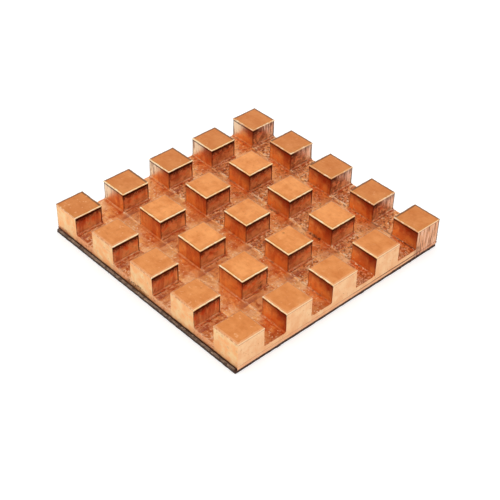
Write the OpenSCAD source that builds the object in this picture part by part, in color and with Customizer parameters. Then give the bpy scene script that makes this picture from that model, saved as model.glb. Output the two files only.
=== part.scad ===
// Pin fin heat sink: one machined copper block whose crossed slots leave a grid
// of square pins on a thin base, with a thin thermal pad stuck to its underside.
// +Z points up through the pins. The origin is under the middle of the block,
// on the face of the pad that goes against the chip.

/* [Pins] */
// Width of each square pin
pin_w = 2.4; // [1:0.1:5]
// Height of the pins above the base
pin_h = 1.6; // [0.6:0.1:12]
// Number of pins along X
pin_columns = 5; // [2:1:9]
// Number of pins along Y
pin_rows = 5; // [2:1:9]
// Broken edge round the top of each pin
pin_break = 0.05; // [0.01:0.01:0.15]

/* [Slots] */
// Width of the slots between the pins
slot_w = 2; // [0.8:0.1:5]
// Radius that the cutter leaves along the foot of the pins
root_r = 0.1; // [0.02:0.01:0.3]
// How much deeper the slots along Y are cut than the slots along X
cut_step = 0.06; // [0.01:0.01:0.15]

/* [Base] */
// Thickness of the base under the slots along X
base_t = 0.7; // [0.4:0.05:4]
// Radius of the block's four upright corners
corner_r = 0.08; // [0.02:0.01:0.3]
// Broken edge round the underside of the base
base_break = 0.08; // [0.01:0.01:0.15]

/* [Thermal pad] */
// Thickness of the pad
pad_t = 0.25; // [0.1:0.05:1]
// How far the pad is cut larger than the block, on each side
pad_margin = 0; // [-1:0.05:0.5]
// How far off centre the pad is stuck, along X
pad_shift_x = -0.18; // [-0.5:0.01:0.5]
// How far off centre the pad is stuck, along Y
pad_shift_y = 0; // [-0.5:0.01:0.5]
// Radius of the pad's cut corners
pad_corner_r = 0.15; // [0.05:0.01:0.5]

/* [Hidden] */
$fn = 48;

// Overshoot that carries a cut clear of the face it breaks through
clear = 1;

// Distance from one pin to the next, and the block's outline that follows
pitch = pin_w + slot_w;
block_l = pin_columns * pitch - slot_w;
block_w = pin_rows * pitch - slot_w;
block_h = base_t + pin_h;

// Outline that the pad is cut to
pad_l = block_l + 2 * pad_margin;
pad_w = block_w + 2 * pad_margin;

// Rectangle centred on the origin, with four equal round corners
module round_rect(l, w, r) {
    square([l - 2 * r, w], center = true);
    square([l, w - 2 * r], center = true);
    for (x = [-1, 1], y = [-1, 1])
        translate([x * (l / 2 - r), y * (w / 2 - r)]) circle(r);
}

// A 45 degree cut of the given leg across the corner at the origin
module edge_cut(leg) {
    rotate(45) square(leg * sqrt(2), center = true);
}

// Section of the cutter in one slot: a round-cornered foot at floor_z, straight
// walls, and a flare at the top that breaks the edges of the pins on both sides
module slot_section(floor_z) {
    translate([-slot_w / 2, floor_z + root_r])
        square([slot_w, block_h - floor_z - root_r + clear]);
    translate([-slot_w / 2 + root_r, floor_z])
        square([slot_w - 2 * root_r, root_r + clear]);
    for (side = [-1, 1]) {
        translate([side * (slot_w / 2 - root_r), floor_z + root_r]) circle(root_r);
        translate([side * slot_w / 2, block_h]) edge_cut(pin_break);
    }
}

// Section across one set of slots: the block's full width, cut into a comb
module comb_section(count, floor_z) {
    length = count * pitch - slot_w;
    difference() {
        translate([-length / 2, 0]) square([length, block_h]);
        for (i = [1 : count - 1])
            translate([i * pitch - slot_w / 2 - length / 2, 0]) slot_section(floor_z);
        for (side = [-1, 1]) {
            translate([side * length / 2, block_h]) edge_cut(pin_break);
            translate([side * length / 2, 0]) edge_cut(base_break);
        }
    }
}

// The comb stands upright and runs the given length along Y
module comb(count, floor_z, run) {
    rotate([90, 0, 0])
        linear_extrude(height = run, center = true)
            comb_section(count, floor_z);
}

// What both combs share: pins where tooth meets tooth, and the base below
module heat_sink() {
    color("#c97a45")
        translate([0, 0, pad_t])
            intersection() {
                comb(pin_columns, base_t - cut_step, block_w);
                rotate([0, 0, 90]) comb(pin_rows, base_t, block_l);
                linear_extrude(height = block_h) round_rect(block_l, block_w, corner_r);
            }
}

module thermal_pad() {
    color("#7d6a60")
        translate([pad_shift_x, pad_shift_y, 0])
            linear_extrude(height = pad_t)
                round_rect(pad_l, pad_w, pad_corner_r);
}

heat_sink();
thermal_pad();
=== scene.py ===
import math
import random

import bmesh
import bpy
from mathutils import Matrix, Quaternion, Vector


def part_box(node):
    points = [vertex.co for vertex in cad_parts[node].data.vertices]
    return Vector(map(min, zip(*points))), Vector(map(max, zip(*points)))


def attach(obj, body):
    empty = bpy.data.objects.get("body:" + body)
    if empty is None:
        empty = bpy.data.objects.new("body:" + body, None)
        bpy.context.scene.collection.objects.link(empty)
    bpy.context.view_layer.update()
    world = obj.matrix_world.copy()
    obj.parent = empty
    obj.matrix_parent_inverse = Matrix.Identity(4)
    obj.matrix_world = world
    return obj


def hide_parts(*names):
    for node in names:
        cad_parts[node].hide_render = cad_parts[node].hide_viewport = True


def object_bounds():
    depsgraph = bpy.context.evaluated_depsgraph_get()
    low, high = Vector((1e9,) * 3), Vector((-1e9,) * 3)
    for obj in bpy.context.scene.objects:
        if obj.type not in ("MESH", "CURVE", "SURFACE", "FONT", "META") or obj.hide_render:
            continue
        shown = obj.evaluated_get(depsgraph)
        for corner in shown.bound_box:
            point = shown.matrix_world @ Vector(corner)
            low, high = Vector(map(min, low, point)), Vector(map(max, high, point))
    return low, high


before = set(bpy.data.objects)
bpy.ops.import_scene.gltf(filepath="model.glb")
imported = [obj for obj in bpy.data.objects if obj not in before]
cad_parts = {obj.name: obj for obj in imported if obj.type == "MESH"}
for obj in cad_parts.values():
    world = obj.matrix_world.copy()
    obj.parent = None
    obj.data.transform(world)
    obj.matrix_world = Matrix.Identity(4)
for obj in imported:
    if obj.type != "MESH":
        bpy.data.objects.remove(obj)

# A copper heat sink, cut from one block by crossed slots, on its thermal pad.
# Both pieces are modelled in millimetres and brought to metres when they are finished.
mm = 0.001
cadLow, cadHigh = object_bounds()
blockLow, blockHigh = (Vector(corner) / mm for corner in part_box("heat_sink"))
padLow, padHigh = (Vector(corner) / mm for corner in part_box("thermal_pad"))
axes = (Vector((1, 0, 0)), Vector((0, 1, 0)), Vector((0, 0, 1)))
close = 0.001        # millimetres: what is nearer than this counts as touching


# Selects what passes the test in the piece that is open in edit mode.
# The test is given the middle of each vertex, edge or face, and the thing itself.
def pick(kind, test):
    bpy.ops.mesh.select_mode(type=kind)
    bpy.ops.mesh.select_all(action="DESELECT")
    mesh = bmesh.from_edit_mesh(bpy.context.object.data)
    mesh.normal_update()
    if kind == "FACE":
        found = [face for face in mesh.faces if test(face.calc_center_median(), face)]
    elif kind == "EDGE":
        found = [edge for edge in mesh.edges if test((edge.verts[0].co + edge.verts[1].co) / 2, edge)]
    else:
        found = [vertex for vertex in mesh.verts if test(vertex.co, vertex)]
    for item in found:
        item.select_set(True)
    mesh.select_flush_mode()
    bmesh.update_edit_mesh(bpy.context.object.data)
    return len(found)


def cut(axis, place):
    bpy.ops.mesh.select_all(action="SELECT")
    bpy.ops.mesh.bisect(plane_co=axes[axis] * place, plane_no=axes[axis], threshold=1e-5)


def push(axis, distance):
    bpy.ops.transform.translate(value=axes[axis] * distance)


# Brings what sticks out past a limit back onto it
def flatten(axis, limit, side):
    if pick("VERT", lambda place, vertex: (place[axis] - limit) * side > 0):
        squeeze = [1, 1, 1]
        squeeze[axis] = 0
        bpy.ops.transform.resize(value=squeeze, center_override=axes[axis] * limit)


def openPiece(name, low, high, kind):
    if bpy.context.mode != "OBJECT":
        bpy.ops.object.mode_set(mode="OBJECT")
    bpy.ops.object.select_all(action="DESELECT")
    if kind == "sheet":
        bpy.ops.mesh.primitive_plane_add(size=1)
    else:
        bpy.ops.mesh.primitive_cube_add(size=1)
    piece = bpy.context.object
    piece.name = name
    piece.data.name = name
    bpy.ops.object.mode_set(mode="EDIT")
    bpy.ops.mesh.select_all(action="SELECT")
    bpy.ops.transform.resize(value=high - low, center_override=(0, 0, 0))
    bpy.ops.transform.translate(value=(low + high) / 2)
    return piece


# Lets a cloud of the given size push the vertices at the tested places about. At a middle
# of 0.5 it pushes both ways, and at 1 only inwards.
def roughen(piece, name, test, direction, size, depth, middle=0.5):
    if bpy.context.mode != "EDIT_MESH":
        bpy.ops.object.mode_set(mode="EDIT")
    pick("VERT", lambda place, vertex: test(place))
    bpy.ops.object.mode_set(mode="OBJECT")
    group = piece.vertex_groups.new(name=name)
    group.add([vertex.index for vertex in piece.data.vertices if vertex.select], 1.0, "REPLACE")
    cloud = bpy.data.textures.new(name, "CLOUDS")
    cloud.noise_scale = size
    cloud.noise_depth = 2
    wave = piece.modifiers.new(name, "DISPLACE")
    wave.texture = cloud
    wave.texture_coords = "LOCAL"
    wave.vertex_group = name
    wave.direction = direction
    wave.strength = depth
    wave.mid_level = middle
    bpy.ops.object.modifier_apply(modifier=name)


def closePiece(piece, node, angle):
    if bpy.context.mode != "OBJECT":
        bpy.ops.object.mode_set(mode="OBJECT")
    bpy.ops.object.shade_smooth_by_angle(angle=math.radians(angle))
    piece.scale = (mm, mm, mm)
    bpy.ops.object.transform_apply(location=False, rotation=False, scale=True)
    piece.vertex_groups.clear()
    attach(piece, "root")
    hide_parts(node)
    print(piece.name, "has", len(piece.data.polygons), "faces")


# The copper block, in millimetres
block = {
    "pinsAcross": 5,
    "slotWidth": 2.0,
    "floorHeight": 0.64,      # of the slots along Y, over the block's underside
    "cutStep": 0.06,          # how much higher the slots along X were left
    "cells": 15,     # faces across each pin and each slot
    "room": 0.02,             # kept inside the outline, for burrs to stand in
    "roomAbove": 0.005,
    "rootRadius": 0.13,       # where a wall meets its floor
    "footRings": (0, 0.015, 0.04, 0.06, 0.075, 0.1, 0.19),     # heights of the rings round the feet
    "rimWidth": 0.045,        # strip along the top of each pin that rolls over into its burr
    "rimDrop": 0.02,          # how far that strip rolls down
    "burrOut": 0.04,          # how far the cutter's burr hangs over a slot, on the walls it left last
    "farBurr": 0.012,         # the same on the walls it met first
    "outerBurr": 0.01,        # and on the outer sides
    "burrDepth": 0.13,
    "burrRings": (0.13, 0.1, 0.065, 0.03, 0),     # depths of the rings under the pins' tops
    "stepBurr": 0.05,         # ridge left along the step between two slots
    "cornerWidth": 0.03,      # rounding of the upright edges
    "sideRings": (0.33, 0.48),     # heights of two rings round the base
    "lipOut": 0.016,          # rolled lower edge
    "lipHeight": 0.15,
    "lipRings": (0.5, 1, 1.4, 1.9),       # heights of its rings, in shares of its own
    "lipShares": (0.7, 1, 1, -0.8, 0),    # how far the edge and each ring stand out, in shares of lipOut
    "lipHang": 0.025,         # how far it hangs over the pad in front
    "lipRises": ((3, 0.025), (5, 0.035), (7, 0.035)),     # where along X it rises again
    "chipHeight": 0.05,
    "crumbShare": 0.22,       # of the faces of the floor at the foot of a pin
    "crumbStrip": (-0.34, -0.03),     # where those faces lie, from the pin behind them
    # the clouds that wear each part: direction, size, depth and middle level
    "wear": {
        "rimWaveX": ("X", 0.36, 0.07), "rimWaveY": ("Y", 0.32, 0.07),
        "wallWaveX": ("X", 1.1, 0.05), "wallWaveY": ("Y", 0.9, 0.05),
        "coarseFloor": ("Z", 0.24, 0.08), "stepRidge": ("Z", 0.22, 0.16, 0.6),
        "stepEdge": ("X", 0.26, 0.14), "fineFloor": ("Z", 0.5, 0.03), "pinTops": ("Z", 0.8, 0.014, 0.8),
        "outerX": ("X", 1.3, 0.02), "outerY": ("Y", 1.3, 0.02),
        "rimRagX": ("X", 0.2, 0.08), "rimRagY": ("Y", 0.2, 0.08), "lowerEdge": ("NORMAL", 0.35, 0.03),
    },
}
pinWidth = (blockHigh.x - blockLow.x + block["slotWidth"]) / block["pinsAcross"] - block["slotWidth"]
pitch = pinWidth + block["slotWidth"]
floorLow = blockLow.z + block["floorHeight"]
floorHigh = floorLow + block["cutStep"]
pinTop = blockHigh.z - block["roomAbove"]
outLow = blockLow + Vector((block["room"], block["room"], 0))
outHigh = blockHigh - Vector((block["room"], block["room"], 0))


# How far a place lies past the nearest side of a pin along an axis: under zero is inside it
def pastPin(place, axis):
    offset = (place[axis] - blockLow[axis]) % pitch
    return max(-offset, offset - pinWidth)


# The same, from the line where the rim starts
def pastRim(place, axis):
    return pastPin(place, axis) + block["rimWidth"] - 0.01


def inColumn(place):
    return pastPin(place, 0) < close


def inRow(place):
    return pastPin(place, 1) < close


# Out in a slot along X, clear of the roots of its walls
def betweenRows(place):
    return pastPin(place, 1) > 0.11


def fromOuter(place, axis):
    return min(place[axis] - outLow[axis], outHigh[axis] - place[axis])


def atLowerEdge(place):
    return place.z < blockLow.z + close and place.y < outLow.y + close


# How far a wall stands out over its slot: a root radius at its foot, a burr at its top
def wallOut(height, depth, burr):
    radius = block["rootRadius"]
    out = 0
    if 0 <= height < radius:
        out = radius - math.sqrt(radius ** 2 - (radius - height) ** 2)
    if depth < block["burrDepth"]:
        out = burr * math.sin(math.pi * (0.2 + 0.8 * depth / block["burrDepth"]))
    return out


# Moves every inner wall that looks along an axis out or in at one height
def leanWalls(axis, level, floor):
    for side, burr in ((-1, block["burrOut"]), (1, block["farBurr"])):
        start = blockLow[axis] + (0 if side < 0 else pinWidth)

        def onWall(place, vertex):
            away = (place[axis] - start + pitch / 2) % pitch - pitch / 2
            return abs(place.z - level) < close and abs(away) < close
        if pick("VERT", onWall):
            push(axis, side * wallOut(level - floor, pinTop - level, burr))


def leanOuter(axis, level, out):
    for side, start in ((-1, outLow[axis]), (1, outHigh[axis])):
        pick("VERT", lambda place, vertex: abs(place.z - level) < close
             and abs(place[axis] - start) < close)
        push(axis, side * out)


def extrudeUp(kind, test, rise):
    pick(kind, test)
    bpy.ops.mesh.extrude_region_move(TRANSFORM_OT_translate={"value": (0, 0, rise)})


# Rounds the upright edges whose middles pass the test
def roundUpright(test):
    def upright(edge):
        rise = edge.verts[0].co - edge.verts[1].co
        return abs(rise.z) > 1.5 * rise.to_2d().length

    pick("EDGE", lambda middle, edge: test(middle) and upright(edge) and edge.calc_face_angle() > 1)
    bpy.ops.mesh.bevel(offset=block["cornerWidth"], segments=2, clamp_overlap=True)


def buildBlock():
    piece = openPiece("copperBlock", Vector((outLow.x, outLow.y, floorLow)),
                      Vector((outHigh.x, outHigh.y, floorLow)), "sheet")
    pins = block["pinsAcross"]
    for axis in (0, 1):
        for number in range(pins - 1):
            wall = blockLow[axis] + number * pitch + pinWidth
            cut(axis, wall)
            cut(axis, wall + block["slotWidth"])
    bpy.ops.mesh.select_all(action="SELECT")
    bpy.ops.mesh.subdivide(number_cuts=block["cells"] - 1)
    for axis in (0, 1):
        for number in range(pins):
            start = blockLow[axis] + number * pitch
            cut(axis, start + block["rimWidth"])
            cut(axis, start + pinWidth - block["rimWidth"])

    # the columns stand a step higher, the pins stand on the columns, and the base hangs below
    extrudeUp("FACE", lambda middle, face: inColumn(middle), block["cutStep"])
    extrudeUp("FACE", lambda middle, face: inColumn(middle) and inRow(middle)
              and middle.z > floorHigh - 0.01, pinTop - floorHigh)
    extrudeUp("EDGE", lambda middle, edge: edge.is_boundary, blockLow.z - floorLow)
    pick("EDGE", lambda middle, edge: edge.is_boundary)
    bpy.ops.mesh.edge_face_add()
    bpy.ops.mesh.inset(thickness=block["room"])
    bpy.ops.mesh.select_all(action="SELECT")
    bpy.ops.mesh.normals_make_consistent(inside=False)

    # rings at the feet, up the walls and under the burrs, but for the levels of the two floors
    feet = [floorLow + rise for rise in block["footRings"]]
    burrs = [pinTop - depth for depth in block["burrRings"]]
    rings = block["cells"] * 2 // 3
    walls = [feet[-1] + (burrs[0] - feet[-1]) * ring / rings for ring in range(1, rings)]
    for level in feet[1:3] + feet[4:] + walls + burrs[:-1]:
        cut(2, level)
    for level in feet + burrs:
        leanWalls(0, level, floorLow)
        leanWalls(1, level, floorHigh)
    for level in burrs:
        for axis in (0, 1):
            leanOuter(axis, level, wallOut(1, pinTop - level, block["outerBurr"]))
    pick("VERT", lambda place, vertex: place.z > pinTop - close
         and max(pastRim(place, 0), pastRim(place, 1)) > 0)
    push(2, -block["rimDrop"])

    # the rolled lower edge, with a groove above it
    lipLevels = [blockLow.z + block["lipHeight"] * share for share in block["lipRings"]]
    for level in lipLevels + [blockLow.z + height for height in block["sideRings"]]:
        cut(2, level)
    for level, share in zip([blockLow.z] + lipLevels, block["lipShares"]):
        for axis in (0, 1):
            leanOuter(axis, level, share * block["lipOut"])
    pick("VERT", lambda place, vertex: atLowerEdge(place))
    push(2, -block["lipHang"])
    for start, rise in block["lipRises"]:
        pick("VERT", lambda place, vertex: atLowerEdge(place) and place.x > start)
        push(2, rise)

    # the ridge along each step, where the deeper slots were cut through the others
    pick("VERT", lambda place, vertex: abs(place.z - floorHigh) < close and betweenRows(place)
         and -0.02 < pastPin(place, 0) < 0.02 and fromOuter(place, 0) > 0.5)
    push(2, block["stepBurr"])

    def atCorner(place):
        nearX = abs(pastPin(place, 0)) < 0.07 or fromOuter(place, 0) < 0.02
        nearY = abs(pastPin(place, 1)) < 0.07 or fromOuter(place, 1) < 0.02
        return nearX and nearY

    roundUpright(lambda middle: middle.z > feet[-1] + 0.01 and atCorner(middle))
    roundUpright(lambda middle: middle.z < floorLow)
    print("the block is cut")
    return piece


# Chips and crumbs of copper left by the cutter: the place in millimetres, the reach and the share
chips = [
    (Vector((3.1, -4.1, 0.9)), 0.5, 0.5),       # at the feet of two pins
    (Vector((3.0, 0.3, 0.9)), 0.5, 0.45),
    (Vector((7.2, -9.2, 0.9)), 0.6, 0.4),       # at the mouth of the last slot
    (Vector((5.3, -3.3, 0.95)), 0.9, 0.2),      # the rest lie about on the floors
    (Vector((0.9, -3.2, 0.95)), 0.9, 0.16),
    (Vector((0.9, 1.2, 0.95)), 0.9, 0.18),
    (Vector((-3.5, 5.5, 0.95)), 0.8, 0.14),
    (Vector((5.3, 1.2, 0.95)), 0.9, 0.2),
    (Vector((-8.8, 6.8, 0.95)), 0.9, 0.3),
]
grid = {"perMillimetre": 100, "start": 5000.37, "stride": 9001}      # for the chances of the chips


# A chance that hangs on the place alone, so that the order of the faces doesn't matter
def chanceAt(place, salt):
    column, row = (round(value * grid["perMillimetre"] + grid["start"]) for value in (place.x, place.y))
    return random.Random(column * grid["stride"] + row + salt).random()


def chipBlock():
    stripLow, stripHigh = block["crumbStrip"]

    def onChip(middle, face):
        if middle.z > floorHigh + 0.05 or middle.z < floorLow - 0.02 or face.normal.z < 0.5:
            return False
        ahead = (middle.y - blockLow.y) % pitch - pitch
        if inColumn(middle) and stripLow < ahead < stripHigh and chanceAt(middle, 0) < block["crumbShare"]:
            return True
        return any((middle - spot).length < reach and chanceAt(middle, 7) < share
                   for spot, reach, share in chips)
    print("chips on", pick("FACE", onChip), "faces")
    bpy.ops.mesh.poke(offset=block["chipHeight"])


def wearBlock(piece):
    def inner(place, axis):
        return fromOuter(place, axis) > 0.2

    def outer(place, axis):
        return fromOuter(place, axis) < 0.02

    def onRim(place):
        return place.z > pinTop - 0.12

    def onWall(place, axis):
        return abs(pastPin(place, axis)) < 0.06 and inner(place, axis) and place.z > floorHigh + 0.05

    def onStep(place, low, high, reach):
        return low < place.z < high and betweenRows(place) and abs(pastPin(place, 0)) < reach

    tests = {
        "rimWaveX": lambda place: onRim(place) and inner(place, 0),
        "rimWaveY": lambda place: onRim(place) and inner(place, 1),
        "wallWaveX": lambda place: onWall(place, 0),
        "wallWaveY": lambda place: onWall(place, 1),
        "coarseFloor": lambda place: abs(place.z - floorHigh) < 0.02 and inColumn(place)
        and betweenRows(place),
        "stepRidge": lambda place: onStep(place, floorHigh + 0.035, floorHigh + 0.08, 0.03),
        "stepEdge": lambda place: onStep(place, floorLow + 0.02, floorHigh + 0.1, 0.08) and inner(place, 0),
        "fineFloor": lambda place: abs(place.z - floorLow) < 0.012,
        "pinTops": lambda place: place.z > pinTop - 0.03,
        "outerX": lambda place: outer(place, 0),
        "outerY": lambda place: outer(place, 1),
        "rimRagX": lambda place: outer(place, 0) and place.z > pinTop - 0.05,
        "rimRagY": lambda place: outer(place, 1) and place.z > pinTop - 0.05,
        "lowerEdge": lambda place: place.z < blockLow.z + 0.1,
    }
    for name, test in tests.items():
        roughen(piece, name, test, *block["wear"][name])
    bpy.ops.object.mode_set(mode="EDIT")
    for axis in (0, 1, 2):
        flatten(axis, blockLow[axis] + (0.002 if axis < 2 else 0), -1)
        flatten(axis, blockHigh[axis] - 0.002, 1)
    print("the block is worn")


# The pad, in millimetres
pad = {
    "cells": 110,
    "room": 0.01,             # kept inside the outline, for the fray
    "cornerRadius": 0.06,
    "rings": (0.12, 0.4, 0.7, 0.9),       # heights of the rings round its sides, in shares of its own
    # how far the sides lie in at each height: the knife leaves the lower edge out and the upper one round
    "drawn": ((1, 0.03), (0.9, 0.01), (0.7, 0.015), (0.4, 0.005), (0, 0.01)),
    "frontIn": 0.01,          # how far the front lies back
    "wear": {"frayX": ("X", 0.35, 0.05), "frayY": ("Y", 0.7, 0.05), "frayFine": ("NORMAL", 0.12, 0.03, 0.7)},
    "tabLength": 0.6,         # the torn tab at one corner
    "tabWidth": 0.14,
    "tabOut": 0.16,
    "crumbs": (-6.3, 1.9, 6.0, 7.1, 9.3),     # where along X crumbs stand out in front
    "crumbReach": 0.13,
    "crumbOut": 0.1,
}


def buildPad():
    room = Vector((pad["room"], pad["room"], 0))
    piece = openPiece("thermalPad", padLow + room, padHigh - room, "solid")
    centre = (padLow + padHigh) / 2
    half = (padHigh - padLow) / 2
    thickness = padHigh.z - padLow.z
    pick("EDGE", lambda middle, edge: abs(middle.z - centre.z) < close)
    bpy.ops.mesh.bevel(offset=pad["cornerRadius"], segments=4)
    for axis in (0, 1):
        for step in range(1, pad["cells"]):
            cut(axis, padLow[axis] + (padHigh[axis] - padLow[axis]) * step / pad["cells"])
    for share in pad["rings"]:
        cut(2, padLow.z + thickness * share)

    def onSide(place):
        return max(abs(place.x - centre.x) - half.x, abs(place.y - centre.y) - half.y) > -0.1

    def onAxis(place, axis):
        return abs(abs(place[axis] - centre[axis]) - half[axis]) < 0.09

    for share, draw in pad["drawn"]:
        level = padLow.z + thickness * share
        pick("VERT", lambda place, vertex: abs(place.z - level) < close and onSide(place)
             and not all(abs(face.normal.z) > 0.9 for face in vertex.link_faces))
        shrink = 1 - draw / half.x
        bpy.ops.transform.resize(value=(shrink, shrink, 1), center_override=centre)
    pick("VERT", lambda place, vertex: place.y < padLow.y + 0.09)
    push(1, pad["frontIn"])
    tests = {
        "frayX": lambda place: onAxis(place, 0),
        "frayY": lambda place: onAxis(place, 1),
        "frayFine": lambda place: onSide(place) and padLow.z + 0.01 < place.z < padHigh.z - 0.01,
    }
    for name, test in tests.items():
        roughen(piece, name, test, *pad["wear"][name])
    bpy.ops.object.mode_set(mode="EDIT")
    pick("VERT", lambda place, vertex: place.x > padHigh.x - pad["tabWidth"]
         and place.y < padLow.y + pad["tabLength"])
    push(0, pad["tabOut"])
    for spot in pad["crumbs"]:
        pick("VERT", lambda place, vertex: abs(place.x - spot) < pad["crumbReach"]
             and place.y < padLow.y + pad["crumbReach"])
        push(1, -pad["crumbOut"])
    for axis in (0, 1):
        flatten(axis, padLow[axis] + close, -1)
    flatten(0, blockHigh.x - 0.002, 1)
    flatten(1, padHigh.y - close, 1)
    return piece


# Shader helpers. A node's inputs are given as values, or as sockets to be linked.
def addNode(tree, kind, inputs=None, **settings):
    node = tree.nodes.new(kind)
    for name, value in settings.items():
        setattr(node, name, value)
    for name, value in (inputs or {}).items():
        if isinstance(value, bpy.types.NodeSocket):
            tree.links.new(value, node.inputs[name])
        else:
            node.inputs[name].default_value = value
    return node


def reckon(tree, operation, first, second=0.0):
    return addNode(tree, "ShaderNodeMath", {0: first, 1: second}, operation=operation).outputs[0]


def blendValue(tree, share, first, second):
    return addNode(tree, "ShaderNodeMix", {0: share, 2: first, 3: second}, data_type="FLOAT").outputs[0]


# A value brought from one range to another, with soft ends
def blendRange(tree, value, low, high, toLow=0.0, toHigh=1.0):
    return addNode(tree, "ShaderNodeMapRange", {"Value": value, "From Min": low, "From Max": high,
                   "To Min": toLow, "To Max": toHigh}, interpolation_type="SMOOTHSTEP").outputs["Result"]


def moveBy(tree, operation, first, second):
    return addNode(tree, "ShaderNodeVectorMath", {0: first, 1: second}, operation=operation).outputs["Vector"]


def blendColour(tree, factor, under, over):
    return addNode(tree, "ShaderNodeMix", {0: factor, 6: under, 7: over}, data_type="RGBA").outputs[2]


def cloudNoise(tree, position, scale, detail=3.0, roughness=0.55):
    return addNode(tree, "ShaderNodeTexNoise", {"Vector": position, "Scale": scale, "Detail": detail,
                   "Roughness": roughness}).outputs["Fac"]


# The linear value of a colour that is written as it would be seen
def seen(red, green, blue):
    def straight(value):
        value /= 255
        return value / 12.92 if value <= 0.04045 else ((value + 0.055) / 1.055) ** 2.4
    return (straight(red), straight(green), straight(blue), 1)


def newMaterial(name):
    material = bpy.data.materials.new(name)
    material.use_nodes = True
    material.node_tree.nodes.clear()
    return material, material.node_tree


# The place of a shaded point in millimetres, whole and as X, Y and Z
def placeIn(tree):
    coordinates = addNode(tree, "ShaderNodeTexCoord").outputs["Object"]
    position = moveBy(tree, "DIVIDE", coordinates, (mm, mm, mm))
    return position, addNode(tree, "ShaderNodeSeparateXYZ", {"Vector": position}).outputs


# A shader node group, with its input sockets and a way to fill its outputs
def newGroup(name, inputs, outputs):
    group = bpy.data.node_groups.new(name, "ShaderNodeTree")
    for label, value in inputs.items():
        kind = "NodeSocketFloat" if isinstance(value, float) else "NodeSocketVector"
        socket = group.interface.new_socket(name=label, in_out="INPUT", socket_type=kind)
        socket.default_value = value
    for label in outputs:
        group.interface.new_socket(name=label, in_out="OUTPUT", socket_type="NodeSocketFloat")
    entry = addNode(group, "NodeGroupInput")
    leave = addNode(group, "NodeGroupOutput")
    return group, entry.outputs, leave.inputs


def useGroup(tree, group, inputs):
    return addNode(tree, "ShaderNodeGroup", inputs, node_tree=group).outputs


# Where a point lies on its pin, in millimetres: from the sides that the cutter left last
# (near) and met first (far), from the upright corner of a wall, and down from the top.
# Side and Row tell how far it lies past the -X side and inside the row, Ahead how far in
# front of the wall to the -Y side, and Outer and Back are 1 on the outermost and the back pins.
# Chance is a value of each pin's own. Lead is how far in front of a pin its own part of the
# slot begins.
def makePinPlace():
    group, given, result = newGroup("pinPlace", {"Position": (0, 0, 0)}, [
        "Near", "Far", "Corner", "Side", "Row", "Ahead", "Depth", "Outer", "Back", "Chance"])
    parts = addNode(group, "ShaderNodeSeparateXYZ", {"Vector": given["Position"]}).outputs
    lead = 0.7
    outerRange = (6.4, 7.4)
    near = []
    far = []
    for axis in (0, 1):
        along = reckon(group, "SUBTRACT", parts[axis], blockLow[axis] - lead)
        offset = reckon(group, "SUBTRACT", reckon(group, "FLOORED_MODULO", along, pitch), lead)
        near.append(offset)
        far.append(reckon(group, "SUBTRACT", pinWidth, offset))
    inside = [reckon(group, "MINIMUM", *pair) for pair in zip(near, far)]
    reach = reckon(group, "MAXIMUM", reckon(group, "ABSOLUTE", parts[0]), reckon(group, "ABSOLUTE", parts[1]))
    back = reckon(group, "MAXIMUM", parts[0], parts[1])
    cell = moveBy(group, "SUBTRACT", given["Position"], (blockLow.x - lead, blockLow.y - lead, 0))
    cell = moveBy(group, "DIVIDE", cell, (pitch, pitch, 90))       # the height makes no difference
    cell = moveBy(group, "FLOOR", cell, (0, 0, 0))
    chance = addNode(group, "ShaderNodeTexWhiteNoise", {"Vector": cell}).outputs["Value"]
    found = {
        "Near": reckon(group, "MINIMUM", *near),
        "Far": reckon(group, "MINIMUM", *far),
        "Corner": reckon(group, "MAXIMUM", *inside),
        "Side": near[0],
        "Row": inside[1],
        "Ahead": reckon(group, "MULTIPLY", near[1], -1.0),
        "Depth": reckon(group, "SUBTRACT", pinTop, parts[2]),
        "Outer": blendRange(group, reach, *outerRange),
        "Back": blendRange(group, back, *outerRange),
        "Chance": chance,
    }
    for label, value in found.items():
        group.links.new(value, result[label])
    return group


# Fine lines drawn out along one way, such as a cutter leaves, with broader bands among them
def makeToolLines():
    group, given, result = newGroup("toolLines", {"Position": (0, 0, 0), "Stretch": (1, 1, 1)}, ["Lines"])
    drawn = moveBy(group, "MULTIPLY", given["Position"], given["Stretch"])
    fine = cloudNoise(group, drawn, 2.2, 4, 0.65)
    broad = cloudNoise(group, drawn, 0.7, 2)
    mixed = reckon(group, "ADD", reckon(group, "MULTIPLY", fine, 0.6), reckon(group, "MULTIPLY", broad, 0.4))
    group.links.new(blendRange(group, mixed, 0.36, 0.64), result["Lines"])
    return group


# Blotches of tarnish, from large clouds to fine grain
def makeMottle():
    group, given, result = newGroup("mottle", {"Position": (0, 0, 0), "Size": 0.5}, ["Blotches", "Grain"])
    scale = reckon(group, "DIVIDE", 1.0, given["Size"])
    clouds = cloudNoise(group, given["Position"], scale, 4, 0.6)
    grain = cloudNoise(group, given["Position"], reckon(group, "MULTIPLY", scale, 5.0), 2, 0.5)
    group.links.new(blendRange(group, clouds, 0.33, 0.67), result["Blotches"])
    group.links.new(blendRange(group, grain, 0.3, 0.7), result["Grain"])
    return group


# Scattered bits of a size in millimetres: the higher the level, the fewer there are
def makeBits():
    group, given, result = newGroup("bits", {"Position": (0, 0, 0), "Size": 0.2, "Level": 0.6}, ["Bits"])
    scale = reckon(group, "DIVIDE", 1.0, given["Size"])
    clouds = cloudNoise(group, given["Position"], scale, 1.5, 0.6)
    full = reckon(group, "ADD", given["Level"], 0.07)
    group.links.new(blendRange(group, clouds, given["Level"], full), result["Bits"])
    return group


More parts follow.
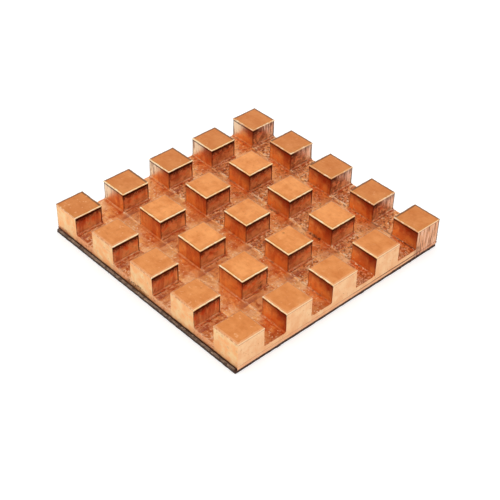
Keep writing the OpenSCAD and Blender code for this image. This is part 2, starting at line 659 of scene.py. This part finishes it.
# One stain with a ragged edge, round a centre given in millimetres
def makeStain():
    group, given, result = newGroup("stain", {"Position": (0, 0, 0), "Centre": (0, 0, 0),
                                              "Reach": (1, 1, 1)}, ["Stain"])
    away = moveBy(group, "SUBTRACT", given["Position"], given["Centre"])
    away = moveBy(group, "DIVIDE", away, given["Reach"])
    length = addNode(group, "ShaderNodeVectorMath", {0: away}, operation="LENGTH").outputs["Value"]
    ragged = cloudNoise(group, given["Position"], 3.5, 4, 0.7)
    ragged = reckon(group, "MULTIPLY", reckon(group, "SUBTRACT", ragged, 0.5), 2.4)
    length = reckon(group, "ADD", length, ragged)
    group.links.new(blendRange(group, length, 1.0, 0.6), result["Stain"])
    return group


# A line along an edge, by the distance from it, that wanders and fades a little
def makeEdgeLine():
    group, given, result = newGroup("edgeLine", {"Position": (0, 0, 0), "Distance": 0.0, "Width": 0.1,
                                                 "Wander": 0.05}, ["Line"])
    wander = reckon(group, "SUBTRACT", cloudNoise(group, given["Position"], 2.5, 3), 0.5)
    distance = reckon(group, "ADD", given["Distance"], reckon(group, "MULTIPLY", wander, given["Wander"]))
    inside = reckon(group, "DIVIDE", distance, given["Width"])
    group.links.new(blendRange(group, inside, 1.3, 0.7), result["Line"])
    return group


pinPlace = makePinPlace()
toolLines = makeToolLines()
mottle = makeMottle()
bits = makeBits()
stain = makeStain()
edgeLine = makeEdgeLine()


# Each finish of the copper: light and dark tones, how lines and blotches share between them, and
# the tints that are laid over them. Stretch is how fast the lines change along X, Y and Z, for
# each millimetre.
copperLooks = {
    "pinTop": {
        "light": (252, 172, 104), "dark": (222, 134, 69), "stretch": (2.2, 0.8, 1), "lines": 0.4,
        "blotch": 1.1, "rough": (0.28, 0.44), "bump": 0.008,
        "outerPinsShade": (206, 124, 66), "backPinsShade": (186, 108, 54), "ownTone": (206, 120, 60),
        "nearEdge": (206, 140, 72), "nearGlint": (255, 192, 146), "farShade": (112, 74, 44),
        "farEdgeShade": (160, 104, 60), "brightBits": (255, 200, 146), "darkBits": (200, 122, 62)},
    "slotFloorFine": {
        "light": (255, 185, 116), "dark": (210, 102, 48), "stretch": (2.2, 0.6, 1), "lines": 0.3,
        "blotch": 0.55, "rough": (0.3, 0.5), "bump": 0.02,
        "crossing": (255, 192, 128), "paleClouds": (255, 200, 150), "mouth": (176, 88, 50),
        "darkBits": (156, 76, 40), "brightBits": (255, 216, 176), "paintedShade": (188, 106, 80),
        "sideFootReflection": (206, 98, 46), "foot": (200, 88, 48), "footShadowLine": (100, 46, 24),
        "stepLine": (130, 60, 34), "cornerFootShade": (96, 46, 26), "cornerBright": (255, 206, 168),
        "cornerDark": (130, 66, 38)},
    "slotFloorCoarse": {
        "light": (255, 178, 109), "dark": (198, 97, 50), "stretch": (1, 2, 1), "lines": 0.15,
        "blotch": 0.4, "rough": (0.35, 0.6), "bump": 0.03,
        "paleClouds": (255, 192, 134), "darkBits": (130, 62, 36), "brightBits": (255, 214, 174),
        "leftBits": (255, 210, 170), "paintedShade": (188, 106, 80), "foot": (200, 88, 48),
        "footShadowLine": (116, 48, 26), "crumbs": (255, 206, 160), "stepGlint": (255, 216, 176)},
    "slotWallX": {
        "light": (255, 194, 131), "dark": (226, 125, 72), "stretch": (2.4, 2.4, 0.6), "lines": 0.12,
        "blotch": 0.5, "rough": (0.28, 0.5), "bump": 0.012,
        "upper": (142, 66, 42), "glow": (255, 206, 140), "lower": (255, 190, 112),
        "redClouds": (196, 84, 44), "goldClouds": (255, 196, 126), "rear": (255, 206, 156),
        "brightBits": (255, 204, 148), "darkBits": (186, 92, 50), "upperFrontShade": (136, 54, 34),
        "lowerRearHighlight": (255, 168, 96), "rearGlints": (255, 226, 180), "sheen": (255, 226, 190),
        "sheenDark": (140, 70, 44), "corner": (116, 46, 24), "end": (84, 54, 38),
        "underBurrShade": (66, 24, 10)},
    "slotWallY": {
        "light": (255, 218, 168), "dark": (255, 142, 88), "stretch": (3, 3, 0.6), "lines": 0.15,
        "blotch": 0.45, "rough": (0.35, 0.55), "bump": 0.014,
        "ownTone": (180, 84, 50), "upper": (122, 52, 38), "lower": (255, 222, 170),
        "right": (196, 116, 80), "darkClouds": (180, 90, 54), "redClouds": (176, 76, 48),
        "paleClouds": (255, 196, 150), "leftRed": (196, 74, 40), "leftPale": (255, 200, 150),
        "darkBits": (120, 54, 34), "nearCornerShade": (116, 44, 22), "farCornerShade": (92, 34, 18),
        "foot": (150, 56, 24), "underRimShade": (80, 32, 22), "brightBits": (255, 200, 156),
        "underBurrShade": (52, 14, 6), "paintedShade": (112, 52, 36), "sheen": (255, 196, 162),
        "sheenDark": (122, 62, 38), "sheenBright": (255, 220, 194), "end": (70, 42, 28)},
    # the outer sides are painted paler than the tops, as a reflection of the white floor
    "outerSideX": {
        "light": (255, 220, 166), "dark": (255, 183, 118), "stretch": (1.6, 1.6, 0.8), "lines": 0.2,
        "blotch": 0.6, "rough": (0.4, 0.5), "bump": 0.01,
        "base": (238, 154, 104), "baseBright": (255, 208, 166), "baseDark": (186, 104, 66),
        "lower": (216, 136, 86), "darkBits": (216, 150, 100), "groove": (80, 34, 16),
        "end": (120, 90, 64)},
    "outerSideY": {
        "light": (255, 214, 166), "dark": (246, 186, 134), "stretch": (2.4, 2.4, 0.5), "lines": 0.3,
        "blotch": 0.9, "rough": (0.4, 0.5), "bump": 0.008,
        "lip": (244, 180, 140), "groove": (130, 70, 40), "deepGrooveShade": (112, 54, 30),
        "darkBits": (206, 136, 90), "underRimShade": (150, 82, 46), "sheen": (224, 150, 112),
        "sheenDark": (122, 62, 38), "sheenBright": (255, 220, 194), "end": (70, 42, 28)},
    # the rims' pale tones are a painted highlight along the rolled edges
    "burrRim": {
        "light": (255, 244, 208), "dark": (255, 212, 150), "stretch": (2, 2, 1), "lines": 0.1,
        "blotch": 0.6, "rough": (0.3, 0.4), "bump": 0.004,
        "right": (216, 140, 84), "brightBits": (255, 228, 190), "darkBits": (250, 184, 122)},
    "outerRim": {
        "light": (255, 206, 158), "dark": (206, 132, 82), "stretch": (2, 2, 1), "lines": 0.1,
        "blotch": 0.25, "rough": (0.3, 0.4), "bump": 0.004,
        "front": (255, 216, 170), "farShade": (84, 56, 34)},
    "underside": {
        "light": (200, 120, 75), "dark": (160, 90, 55), "stretch": (0.4, 4, 1), "lines": 0.6,
        "blotch": 1.2, "rough": (0.4, 0.5), "bump": 0.004},
}


# Which finish a face of the block has, by where it lies and which way it looks
def finishAt(middle, face):
    normal = face.normal
    if middle.z < blockLow.z + close:
        return "underside"
    if pinTop - middle.z < 0.105 and normal.z > -0.3:
        near = [(middle[axis] - blockLow[axis] + 0.5) % pitch - 0.5 for axis in (0, 1)]
        if min(near) < block["rimWidth"] - 0.01:
            outside = min(middle[axis] - outLow[axis] for axis in (0, 1) if near[axis] == min(near)) < 0.1
            return "outerRim" if outside else "burrRim"
        return "pinTop" if max(pastRim(middle, 0), pastRim(middle, 1)) < 0 else "outerRim"
    if normal.z > 0.5:
        return "slotFloorCoarse" if inColumn(middle) and pastPin(middle, 1) > 0.1 else "slotFloorFine"
    if fromOuter(middle, 0) < 0.04 and abs(normal.x) > abs(normal.y):
        return "outerSideX"
    if fromOuter(middle, 1) < 0.04 and abs(normal.y) > abs(normal.x):
        return "outerSideY"
    return "slotWallX" if abs(normal.x) > abs(normal.y) else "slotWallY"


def paintBlock(piece):
    for index, name in enumerate(copperLooks):
        piece.data.materials.append(copper(name))
        found = pick("FACE", lambda middle, face: finishAt(middle, face) == name)
        piece.active_material_index = index
        bpy.ops.object.material_slot_assign()
        print(name, "is on", found, "faces")


# Marks on the block: the finish they lie on, the colour, centre and reach in millimetres, and strength
marks = [
    ("slotWallY", (70, 34, 20), (-3.85, -5.6, 1.2), (0.3, 0.3, 0.34), 0.6),
    ("slotWallY", (110, 62, 38), (4.1, 3.2, 1.05), (0.5, 0.3, 0.2), 0.6),
    ("outerSideX", (126, 78, 42), (-10, 0.5, 0.5), (0.3, 1.5, 0.34), 0.85),
    ("outerSideX", (170, 92, 60), (-10, 9.2, 0.45), (0.3, 0.9, 0.24), 0.6),
    ("outerSideY", (120, 66, 44), (7.8, -10, 0.7), (0.3, 0.3, 0.45), 0.6),
    ("slotFloorFine", (60, 30, 18), (3.12, -4.05, 0.9), (0.14, 0.7, 0.3), 0.7),
    ("slotFloorFine", (70, 38, 22), (3.0, 0.3, 0.9), (0.12, 0.7, 0.3), 0.65),
    ("slotWallX", (60, 30, 18), (3.15, -4.05, 0.95), (0.3, 0.6, 0.1), 0.6),
    ("pinTop", (150, 92, 48), (0.24, -3.63, 2.55), (0.14, 0.1, 0.3), 0.6),
]


# Lays the tints of a finish over its two tones, one after another. Distances are in millimetres,
# and depth is from the pins' tops down.
def copper(name):
    look = copperLooks[name]
    material, tree = newMaterial(name)
    position, (x, y, z) = placeIn(tree)
    lines = useGroup(tree, toolLines, {"Position": position, "Stretch": look["stretch"]})["Lines"]
    spots = useGroup(tree, mottle, {"Position": position, "Size": look["blotch"]})
    near, far, corner, side, row, ahead, depth, outer, back, chance = useGroup(
        tree, pinPlace, {"Position": position})
    tone = blendValue(tree, look["lines"], spots["Blotches"], lines)
    colour = blendColour(tree, tone, seen(*look["dark"]), seen(*look["light"]))

    def both(first, second):
        return reckon(tree, "MULTIPLY", first, second)

    def lay(mask, strength, tint):
        nonlocal colour
        colour = blendColour(tree, both(mask, strength), colour, seen(*tint))

    def shade(mask, strength, tint):
        lay(mask, strength, look[tint])

    # a line where a value comes to its middle, of a width, that wanders
    def band(value, middle, width, wander):
        distance = reckon(tree, "ABSOLUTE", reckon(tree, "SUBTRACT", value, middle))
        return useGroup(tree, edgeLine, {"Position": position, "Distance": distance, "Width": width,
                                         "Wander": wander})["Line"]

    def scatter(size, level):
        return useGroup(tree, bits, {"Position": position, "Size": size, "Level": level})["Bits"]

    def between(value, low, high, toLow=0.0, toHigh=1.0):
        return blendRange(tree, value, low, high, toLow, toHigh)

    # clouds drawn out down the walls, so many to a millimetre, from fine scores to soft bands
    def drawn(density, down, detail, roughness, low, high):
        stretched = moveBy(tree, "MULTIPLY", position, (density, density, density * down))
        return between(cloudNoise(tree, stretched, 1.0, detail, roughness), low, high)

    def streaks(density, low, high):
        return drawn(density, 0.07, 3, 0.65, low, high)

    def clouds(density, low, high, down=0.22):
        return drawn(density, down, 1, 0.4, low, high)

    # painted shade on the floor in front of each pin, where it mirrors the dark wall, halfway to the next
    # row, and less of it on the right
    def inFront():
        across = reckon(tree, "ABSOLUTE", reckon(tree, "SUBTRACT", side, 0.15))
        along = reckon(tree, "ABSOLUTE", reckon(tree, "SUBTRACT", ahead, 0.95))
        return both(both(between(across, 1.3, 0.1), between(along, 1.0, 0.1)), between(x, -1, 4, 1.0, 0.6))

    # a painted sheen with dark and light streaks through it, and a dark line at the upright edge beside it
    def streakedSheen(where, strength):
        shade(where, strength, "sheen")
        shade(both(streaks(9, 0.52, 0.62), where), 0.85, "sheenDark")
        shade(both(streaks(9, 0.46, 0.36), where), 0.85, "sheenBright")
        shade(band(x, 9.98, 0.09, 0.05), 0.9, "end")

    if name == "pinTop":
        # whole pins first: painted shade on the outermost and the back pins, whose tops mirror less light,
        # and a tone of each pin's own; then their edges, with a painted glint along the near edges of the
        # front pins and painted shade along the far ones, and a few bits
        shade(outer, 0.35, "outerPinsShade")
        shade(back, 0.3, "backPinsShade")
        shade(chance, 0.14, "ownTone")
        front = both(outer, between(back, 1, 0))
        shade(band(near, 0, 0.16, 0.12), 0.35, "nearEdge")
        shade(both(band(near, 0.1, 0.08, 0.16), front), 0.4, "nearGlint")
        shade(both(band(far, 0, 0.16, 0.06), back), 0.8, "farShade")
        shade(band(far, 0, 0.08, 0.08), 0.3, "farEdgeShade")
        shade(scatter(0.3, 0.65), between(x, -4, -7, 0.15, 0.4), "brightBits")
        shade(scatter(0.22, 0.62), 0.25, "darkBits")
    elif name == "slotWallX":
        # painted shade under the rim, a painted glow in clouds below it and a painted golden reflection at
        # the foot, with soft clouds of tone, and painted light toward the rear of each wall
        shade(between(depth, 0.8, 0.1), 0.8, "upper")
        shade(both(clouds(1.3, 0.48, 0.62, 0.9), between(depth, 0.3, 0.8)), 0.6, "glow")
        shade(between(depth, 0.6, 1.4), 0.6, "lower")
        shade(clouds(1.6, 0.48, 0.62), 0.5, "redClouds")
        shade(both(clouds(2.2, 0.5, 0.38), between(x, 3, -3)), 0.4, "goldClouds")
        shade(between(ahead, -0.8, -2.3), 0.2, "rear")
        low = both(between(depth, 0.9, 1.5), between(x, 0, 4))
        shade(both(scatter(0.2, 0.54), low), 0.5, "brightBits")
        shade(scatter(0.4, 0.56), 0.25, "darkBits")
        # on the right these walls get painted shade at the upper front and painted highlights and glints at
        # the lower rear
        slope = reckon(tree, "ADD", depth, both(ahead, -0.5))
        glossy = reckon(tree, "MAXIMUM", between(x, -4, 3), between(y, -6.5, -8))
        shade(both(between(slope, 1.7, 0.6), glossy), 0.6, "upperFrontShade")
        shade(both(between(slope, 1.6, 2.3), both(glossy, scatter(0.5, 0.4))), 0.8, "lowerRearHighlight")
        shade(both(scatter(0.22, 0.6), both(glossy, between(slope, 1.6, 2.3))), 0.8, "rearGlints")
        # a painted slanted sheen on the rear ones, with dark streaks, then the edges: painted shade at the
        # upright corner, a dark line at the end, and painted shade under the burr
        slant = reckon(tree, "ADD", depth, both(y, -0.9))
        rear = both(between(y, 7.8, 9.4), between(slant, -6.9, -7.6))
        shade(rear, 0.85, "sheen")
        shade(both(streaks(8, 0.54, 0.64), rear), 0.8, "sheenDark")
        shade(band(corner, 0, 0.07, 0.2), 0.5, "corner")
        shade(band(y, 10, 0.1, 0.05), 0.9, "end")
        shade(band(depth, 0.18, 0.055, 0.09), 0.85, "underBurrShade")
    elif name == "slotWallY":
        # painted shade under the rim, painted light at the foot, and painted shade toward the right
        shade(chance, 0.18, "ownTone")
        shade(between(depth, 0.95, 0.15), 0.72, "upper")
        shade(between(depth, 0.7, 1.2), 0.7, "lower")
        shade(between(x, -9, 4), 0.25, "right")
        shade(scatter(0.45, 0.56), 0.3, "darkClouds")
        # soft clouds, finer on the first walls at the left
        inner = between(x, -7.8, -6)
        shade(both(clouds(1.9, 0.47, 0.62, 1.1), inner), 0.42, "redClouds")
        shade(both(clouds(2.7, 0.5, 0.38, 1.2), inner), 0.45, "paleClouds")
        left = between(inner, 1, 0)
        shade(both(clouds(2.6, 0.48, 0.6), left), 0.5, "leftRed")
        shade(both(clouds(3.4, 0.5, 0.38), left), 0.5, "leftPale")
        shade(both(scatter(0.16, 0.6), between(x, -2, 4)), 0.4, "darkBits")
        # painted shade at the upright corners, along the foot, in a ragged band under the rim, and in a line
        # under the burr
        shade(band(side, 0, 0.08, 0.24), 0.55, "nearCornerShade")
        shade(band(side, pinWidth, 0.11, 0.12), 0.85, "farCornerShade")
        shade(band(z, floorHigh + 0.12, 0.09, 0.22), 0.2, "foot")
        ragged = reckon(tree, "ADD", depth, both(scatter(0.16, 0.46), -0.2))
        shade(between(ragged, 0.48, 0.18), 0.7, "underRimShade")
        shade(both(scatter(0.16, 0.55), between(depth, 1.0, 1.5)), 0.6, "brightBits")
        shade(band(depth, 0.18, 0.095, 0.12), 0.95, "underBurrShade")
        # painted shade on the lower left of the last walls, and a painted sheen over their upper right half
        right = between(x, 7.2, 8.6)
        slant = reckon(tree, "SUBTRACT", depth, both(side, 0.7))
        paintedShade = both(between(slant, -0.7, 0), between(x, 6.6, 7.6))
        shade(both(paintedShade, scatter(0.35, 0.46)), 0.45, "paintedShade")
        streakedSheen(both(right, between(slant, 0.1, -0.6)), 0.45)
    elif name == "slotFloorCoarse":
        # crumbs and pits, fewer of them on the left
        most = between(x, -4.5, -1.5, 0.12, 1.0)
        shade(scatter(0.6, 0.5), 0.5, "paleClouds")
        shade(both(scatter(0.24, 0.52), most), 0.65, "darkBits")
        shade(both(scatter(0.18, 0.57), most), 1.0, "brightBits")
        shade(both(between(x, -8, -9.5), scatter(0.2, 0.54)), 0.8, "leftBits")
        edge = between(x, -5, -1, 0.5, 0.95)
        shade(inFront(), 0.95, "paintedShade")
        # the foot of the pin behind, with a painted reflection of its wall, a painted shadow line and painted
        # glints where the crumbs lie, and a painted glint along the step to the next slot
        shade(band(ahead, 0.06, 0.13, 0.2), 0.5, "foot")
        shade(both(band(ahead, 0.17, 0.05, 0.1), scatter(0.4, 0.48)), 0.6, "footShadowLine")
        shade(both(band(ahead, 0.26, 0.08, 0.2), scatter(0.3, 0.5)), edge, "crumbs")
        shade(both(band(side, 0.02, 0.09, 0.14), scatter(0.5, 0.47)), edge, "stepGlint")
    elif name == "slotFloorFine":
        crossing = between(row, 0.05, -0.1)
        mouth = between(y, -8.6, -9.9)
        shade(crossing, 0.5, "crossing")
        shade(scatter(0.6, 0.51), 0.5, "paleClouds")
        shade(mouth, 0.4, "mouth")
        most = between(x, -4, 3, 0.2, 0.95)
        shade(both(scatter(0.27, 0.56), most), 0.55, "darkBits")
        shade(scatter(0.17, 0.61), 0.95, "brightBits")
        shade(inFront(), 0.95, "paintedShade")
        # painted reflections of the walls at the feet of the pins beside and behind
        shade(both(band(side, -0.08, 0.13, 0.2), between(crossing, 1, 0)), 0.55, "sideFootReflection")
        inside = both(between(side, -0.05, 0.05), between(side, pinWidth + 0.05, pinWidth - 0.05))
        shade(both(band(ahead, 0.06, 0.13, 0.2), inside), 0.5, "foot")
        # at the mouths of the slots on the right: a painted shade line along the feet, and bright and dark
        # bits
        rightMouths = both(between(y, -7.6, -8.4), between(x, 0, 1))
        foot = both(band(side, -0.05, 0.06, 0.1), between(x, 5, 6))
        shade(both(rightMouths, foot), 0.7, "cornerFootShade")
        shade(both(rightMouths, scatter(0.18, 0.53)), 0.9, "cornerBright")
        shade(both(rightMouths, scatter(0.22, 0.6)), 0.6, "cornerDark")
        # a broken line of painted shadow along the feet, and a dark line along the steps where the slots
        # cross
        foot = both(band(side, -0.06, 0.04, 0.14), both(between(crossing, 1, 0), between(x, -4, 0)))
        shade(both(foot, scatter(0.3, 0.54)), 0.7, "footShadowLine")
        step = both(band(side, -0.06, 0.06, 0.08), crossing)
        shade(both(step, both(most, scatter(0.6, 0.52))), 0.7, "stepLine")
    elif name == "outerSideX":
        # the base between the pins, its lower part, and painted shade in the groove over the lip
        base = both(between(depth, 1.3, 1.8), between(row, 0.35, -0.25))
        shade(base, 0.6, "base")
        shade(both(base, scatter(0.2, 0.55)), 0.7, "baseBright")
        shade(both(base, scatter(0.22, 0.57)), 0.65, "baseDark")
        shade(between(depth, 1.75, 2.25), 0.5, "lower")
        shade(scatter(0.3, 0.62), 0.35, "darkBits")
        shade(band(depth, 2.32, 0.2, 0.12), 1.0, "groove")
        shade(band(y, 10, 0.08, 0.05), 0.7, "end")
    elif name == "outerSideY":
        # the lip, and painted shade in the groove over it, darker to the right
        right = between(x, -2, 8)
        shade(between(depth, 2.02, 2.12), 0.5, "lip")
        strength = between(right, 0, 1, 0.3, 0.9)
        shade(band(depth, 2.04, 0.035, 0.06), strength, "groove")
        shade(both(band(depth, 2.06, 0.05, 0.06), right), 0.8, "deepGrooveShade")
        shade(scatter(0.2, 0.64), 0.5, "darkBits")
        last = between(x, 7.2, 7.8)
        streakedSheen(last, 0.6)
        # painted shade under the rim
        strength = between(last, 0, 1, 0.6, 0.95)
        shade(band(depth, 0.1, 0.045, 0.04), strength, "underRimShade")
    elif name == "burrRim":
        # painted shade on the rims of the right column
        shade(between(x, 6.4, 7.4), 0.6, "right")
        shade(both(back, scatter(0.3, 0.52)), 0.9, "brightBits")
        shade(scatter(0.24, 0.54), 0.6, "darkBits")
    elif name == "outerRim":
        # a painted highlight along the front rims, and painted shade along the far rims of the back pins
        shade(between(y, -9.9, -9.93), 0.8, "front")
        shade(both(back, band(far, 0, 0.1, 0.04)), 0.85, "farShade")
    for finish, tint, centre, reach, strength in marks:
        if finish == name:
            found = useGroup(tree, stain, {"Position": position, "Centre": centre, "Reach": reach})["Stain"]
            broken = between(scatter(0.15, 0.46), 0, 1, 0.3, 1.0)
            lay(both(found, broken), strength, tint)

    relief = reckon(tree, "ADD", tone, both(spots["Grain"], 0.5))
    roughness = blendRange(tree, spots["Grain"], 0, 1, *look["rough"])
    bump = addNode(tree, "ShaderNodeBump", {"Height": relief, "Strength": 1.0, "Distance": look["bump"] * mm})
    metal = addNode(tree, "ShaderNodeBsdfPrincipled", {"Base Color": colour, "Roughness": roughness,
                    "Normal": bump.outputs["Normal"], "Metallic": 1.0})
    addNode(tree, "ShaderNodeOutputMaterial", {"Surface": metal.outputs["BSDF"]})
    return material


# The pad's tints, and where each begins and is full: heights over its underside, and a place along Y for the
# front. It is seen from above where it stands out, and edge on along its front. The foot is painted shadow,
# the top is painted lighter as lit from above, and the front is painted shade where it lies back under the
# copper.
padLooks = {
    "foot": (58, 42, 34), "side": (92, 70, 56), "top": (190, 162, 140), "front": (72, 40, 26),
    "under": (150, 128, 112), "patch": (62, 40, 28), "dust": (222, 190, 160),
    "sideRange": (0.06, 0.14), "topRange": (0.2, 0.25), "frontRange": (-9.7, -9.85),
    "underRange": (0.004, 0.001), "bitsRange": (0.15, 0.22, 0, 0.6),
    "wander": 0.08, "blotch": 0.4, "rough": (0.6, 0.85), "bump": 0.02, "gloss": 0.3,
    "bits": (("patch", 0.35, 0.5), ("dust", 0.16, 0.6)),      # tint, size and level
}


def padFinish():
    material, tree = newMaterial("padFoam")
    position, parts = placeIn(tree)
    spots = useGroup(tree, mottle, {"Position": position, "Size": padLooks["blotch"]})
    wander = reckon(tree, "MULTIPLY", reckon(tree, "SUBTRACT", spots["Blotches"], 0.5), padLooks["wander"])
    height = reckon(tree, "ADD", parts[2], wander)
    # painted shadow at the foot, going up into the side's own colour
    side = blendRange(tree, height, *padLooks["sideRange"])
    colour = blendColour(tree, side, seen(*padLooks["foot"]), seen(*padLooks["side"]))
    # then a painted lighter top, painted shade on the front, and the underside in its own grey
    for value, tint in ((height, "top"), (parts[1], "front"), (parts[2], "under")):
        share = blendRange(tree, value, *padLooks[tint + "Range"])
        colour = blendColour(tree, share, colour, seen(*padLooks[tint]))
    for share, value in ((0.45, spots["Blotches"]), (0.3, spots["Grain"])):
        patch = reckon(tree, "MULTIPLY", value, share)
        colour = blendColour(tree, patch, colour, seen(*padLooks["patch"]))
    for tint, size, level in padLooks["bits"]:
        found = useGroup(tree, bits, {"Position": position, "Size": size, "Level": level})["Bits"]
        found = reckon(tree, "MULTIPLY", found, blendRange(tree, parts[2], *padLooks["bitsRange"]))
        colour = blendColour(tree, found, colour, seen(*padLooks[tint]))
    roughness = blendRange(tree, spots["Grain"], 0, 1, *padLooks["rough"])
    bump = addNode(tree, "ShaderNodeBump", {"Height": spots["Grain"], "Strength": 1.0,
                   "Distance": padLooks["bump"] * mm})
    foam = addNode(tree, "ShaderNodeBsdfPrincipled", {"Base Color": colour, "Roughness": roughness,
                   "Normal": bump.outputs["Normal"], "Specular IOR Level": padLooks["gloss"]})
    addNode(tree, "ShaderNodeOutputMaterial", {"Surface": foam.outputs["BSDF"]})
    return material


copperBlock = buildBlock()
paintBlock(copperBlock)
chipBlock()
wearBlock(copperBlock)
closePiece(copperBlock, "heat_sink", 50)
thermalPad = buildPad()
thermalPad.data.materials.append(padFinish())
closePiece(thermalPad, "thermal_pad", 40)


# The studio: a white paper floor under an even white sky
studio = {
    "floorSize": 1.2,         # metres
    "underPad": 0.15,         # millimetres that the floor reaches in under the pad
    "paper": 0.8,
    "paperSeen": 0.4,         # glow that whitens the paper where it is looked at
    "paperMirrored": 0.2,     # and where the copper mirrors it
    "sky": 1.0,
}


def buildStudio():
    bpy.ops.object.select_all(action="DESELECT")
    bpy.ops.mesh.primitive_plane_add(size=studio["floorSize"], location=(0, 0, cadLow[2]))
    floor = bpy.context.object
    floor.name = "floor"
    # open under the pad, so that the underside is lit and can be looked at from below
    bpy.ops.object.mode_set(mode="EDIT")
    for axis in (0, 1):
        cut(axis, (padLow[axis] + studio["underPad"]) * mm)
        cut(axis, (padHigh[axis] - studio["underPad"]) * mm)
    pick("FACE", lambda middle, face: middle.length < mm)
    bpy.ops.mesh.delete(type="FACE")
    bpy.ops.object.mode_set(mode="OBJECT")
    material, tree = newMaterial("whitePaper")
    rays = addNode(tree, "ShaderNodeLightPath").outputs
    mirrored = reckon(tree, "MAXIMUM", rays["Is Glossy Ray"], rays["Is Transmission Ray"])
    glow = reckon(tree, "ADD", reckon(tree, "MULTIPLY", rays["Is Camera Ray"], studio["paperSeen"]),
                  reckon(tree, "MULTIPLY", mirrored, studio["paperMirrored"]))
    paper = addNode(tree, "ShaderNodeBsdfDiffuse", {"Color": (studio["paper"],) * 3 + (1,)})
    light = addNode(tree, "ShaderNodeEmission", {"Color": (1, 1, 1, 1), "Strength": glow})
    both = addNode(tree, "ShaderNodeAddShader", {0: paper.outputs[0], 1: light.outputs[0]})
    addNode(tree, "ShaderNodeOutputMaterial", {"Surface": both.outputs[0]})
    floor.data.materials.append(material)

    world = bpy.data.worlds.new("studioSky")
    bpy.context.scene.world = world
    world.use_nodes = True
    world.node_tree.nodes.clear()
    sky = addNode(world.node_tree, "ShaderNodeBackground", {"Color": (1, 1, 1, 1), "Strength": studio["sky"]})
    addNode(world.node_tree, "ShaderNodeOutputWorld", {"Surface": sky.outputs[0]})


# The camera, with angles in degrees and lengths in millimetres
view = {"azimuth": -43.51, "elevation": 39.33, "roll": 1.361, "distance": 84.6,
        "aim": (-0.972, -1.413, 0.25), "lens": 82.8, "sensor": 36, "clipStart": 5}


def addCamera():
    azimuth = math.radians(view["azimuth"])
    elevation = math.radians(view["elevation"])
    level = math.cos(elevation)
    outward = Vector((math.sin(azimuth) * level, -math.cos(azimuth) * level, math.sin(elevation)))
    bpy.ops.object.camera_add(location=(Vector(view["aim"]) + outward * view["distance"]) * mm)
    camera = bpy.context.object
    camera.rotation_mode = "QUATERNION"
    roll = Quaternion((0, 0, 1), math.radians(view["roll"]))
    camera.rotation_quaternion = outward.to_track_quat("Z", "Y") @ roll
    camera.data.lens = view["lens"]
    camera.data.sensor_width = view["sensor"]
    camera.data.clip_start = view["clipStart"] * mm
    bpy.context.scene.camera = camera


buildStudio()
addCamera()
bpy.context.scene.view_settings.view_transform = "Standard"
print("studio and camera are set")
